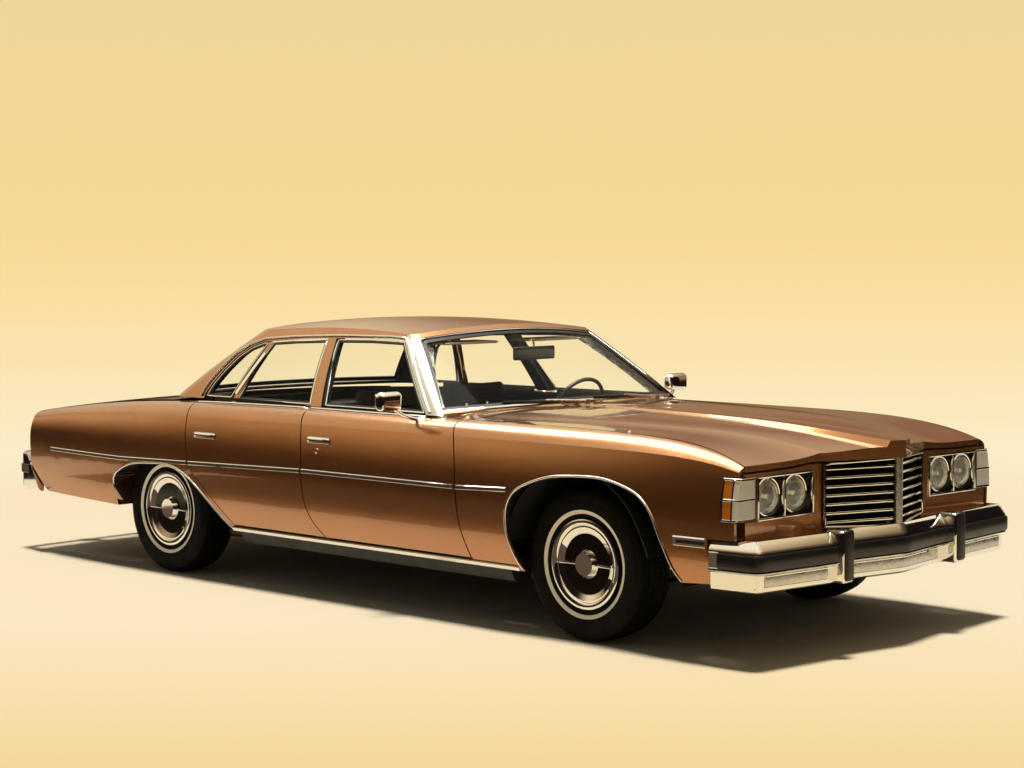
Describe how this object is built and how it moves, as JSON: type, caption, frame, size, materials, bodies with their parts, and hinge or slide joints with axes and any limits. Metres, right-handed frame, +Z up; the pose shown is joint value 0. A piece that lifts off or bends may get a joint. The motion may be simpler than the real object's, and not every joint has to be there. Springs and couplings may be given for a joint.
{
  "type": "full-size car",
  "caption": "Full-size sedan with hinged doors, hood and trunk lid, steered front wheels, chrome bumpers and grille, and a cabin with bench seats.",
  "frame": {"origin": "on the ground under the middle of the car's length and width", "axes": "+X forward, +Y to the car's left, +Z up"},
  "size_m": [5.74, 2.28, 1.4137],
  "materials": {
    "body_paint": "metallic copper bronze, glossy",
    "frame_black": "satin black",
    "clear_glass": "clear",
    "bright_chrome": "polished",
    "lamp_glass": "clear fluted",
    "red_lens": "ribbed lens",
    "cabin_vinyl": "grained",
    "seat_fabric": "woven cloth with vinyl edges",
    "engine_iron": "painted",
    "exhaust_steel": "dull",
    "tyre_rubber": "black with thin pale rings"
  },
  "bodies": {
    "body": {"chassis_frame": "frame_black", "floor_pan": "frame_black", "trunk_floor": "frame_black", "sill_left": "body_paint", "sill_right": "body_paint", "wheelhouse_left": "frame_black", "wheelhouse_right": "frame_black", "inner_fenders": "frame_black", "front_fender_left": "body_paint", "front_fender_right": "body_paint", "cowl": "body_paint", "roof": "body_paint", "quarter_panel_left": "body_paint", "quarter_panel_right": "body_paint", "windshield": "clear_glass", "rear_window": "clear_glass", "front_bumper": "bright_chrome", "rear_bumper": "bright_chrome", "grille": "bright_chrome", "nose_panel": "body_paint", "headlamps": "lamp_glass", "corner_lamps": "lamp_glass", "tail_lamps": "red_lens", "tail_panel": "body_paint", "rear_deck": "body_paint", "dashboard": "cabin_vinyl", "front_seat": "seat_fabric", "rear_seat": "seat_fabric", "engine": "engine_iron", "fuel_tank": "frame_black", "exhaust": "exhaust_steel", "rear_axle": "frame_black", "interior_mirror": "cabin_vinyl"},
    "hood": {"hood": "body_paint"},
    "trunk_lid": {"trunk_lid": "body_paint"},
    "steering_wheel": {"steering_wheel": "cabin_vinyl"},
    "front_door_left": {"front_door_left": "body_paint", "front_door_glass_left": "clear_glass", "door_mirror_left": "bright_chrome"},
    "rear_door_left": {"rear_door_left": "body_paint", "rear_door_glass_left": "clear_glass"},
    "knuckle_left": {"knuckle_left": "frame_black"},
    "front_wheel_left": {"front_wheel_left": "bright_chrome", "front_tyre_left": "tyre_rubber"},
    "rear_wheel_left": {"rear_wheel_left": "bright_chrome", "rear_tyre_left": "tyre_rubber"},
    "front_door_right": {"front_door_right": "body_paint", "front_door_glass_right": "clear_glass", "door_mirror_right": "bright_chrome"},
    "rear_door_right": {"rear_door_right": "body_paint", "rear_door_glass_right": "clear_glass"},
    "knuckle_right": {"knuckle_right": "frame_black"},
    "front_wheel_right": {"front_wheel_right": "bright_chrome", "front_tyre_right": "tyre_rubber"},
    "rear_wheel_right": {"rear_wheel_right": "bright_chrome", "rear_tyre_right": "tyre_rubber"}
  },
  "joints": [
    {"name": "front_door_left_hinge", "type": "hinge", "parent": "body", "child": "front_door_left", "pos_m": [1.04, 1, 0.6], "axis": [0, 0, -1], "range_deg": [0, 68]},
    {"name": "rear_door_left_hinge", "type": "hinge", "parent": "body", "child": "rear_door_left", "pos_m": [-0.091, 1, 0.6], "axis": [0, 0, -1], "range_deg": [0, 68]},
    {"name": "front_door_right_hinge", "type": "hinge", "parent": "body", "child": "front_door_right", "pos_m": [1.04, -1, 0.6], "axis": [0, 0, 1], "range_deg": [0, 68]},
    {"name": "rear_door_right_hinge", "type": "hinge", "parent": "body", "child": "rear_door_right", "pos_m": [-0.091, -1, 0.6], "axis": [0, 0, 1], "range_deg": [0, 68]},
    {"name": "hood_hinge", "type": "hinge", "parent": "body", "child": "hood", "pos_m": [0.937, 0, 0.955], "axis": [0, -1, 0], "range_deg": [0, 50]},
    {"name": "trunk_lid_hinge", "type": "hinge", "parent": "body", "child": "trunk_lid", "pos_m": [-1.605, 0, 0.94], "axis": [0, 1, 0], "range_deg": [0, 70]},
    {"name": "steering_wheel_turn", "type": "hinge", "parent": "body", "child": "steering_wheel", "pos_m": [0.499, 0.38, 0.915], "axis": [-0.8988, 0, 0.4384], "range_deg": [-512, 512]},
    {"name": "steer_left", "type": "hinge", "parent": "body", "child": "knuckle_left", "pos_m": [1.755, 0.757, 0.355], "axis": [0, 0, 1], "range_deg": [-32, 32]},
    {"name": "front_wheel_left_spin", "type": "hinge", "parent": "knuckle_left", "child": "front_wheel_left", "pos_m": [1.755, 0.812, 0.355], "axis": [0, 1, 0], "continuous": true},
    {"name": "rear_wheel_left_spin", "type": "hinge", "parent": "body", "child": "rear_wheel_left", "pos_m": [-1.379, 0.812, 0.355], "axis": [0, 1, 0], "continuous": true},
    {"name": "steer_right", "type": "hinge", "parent": "body", "child": "knuckle_right", "pos_m": [1.755, -0.757, 0.355], "axis": [0, 0, 1], "range_deg": [-32, 32]},
    {"name": "front_wheel_right_spin", "type": "hinge", "parent": "knuckle_right", "child": "front_wheel_right", "pos_m": [1.755, -0.812, 0.355], "axis": [0, 1, 0], "continuous": true},
    {"name": "rear_wheel_right_spin", "type": "hinge", "parent": "body", "child": "rear_wheel_right", "pos_m": [-1.379, -0.812, 0.355], "axis": [0, 1, 0], "continuous": true}
  ],
  "couplings": [
    {"joint": "steer_left", "follows": "steering_wheel_turn", "ratio": 0.0625},
    {"joint": "steer_right", "follows": "steering_wheel_turn", "ratio": 0.0625}
  ]
}
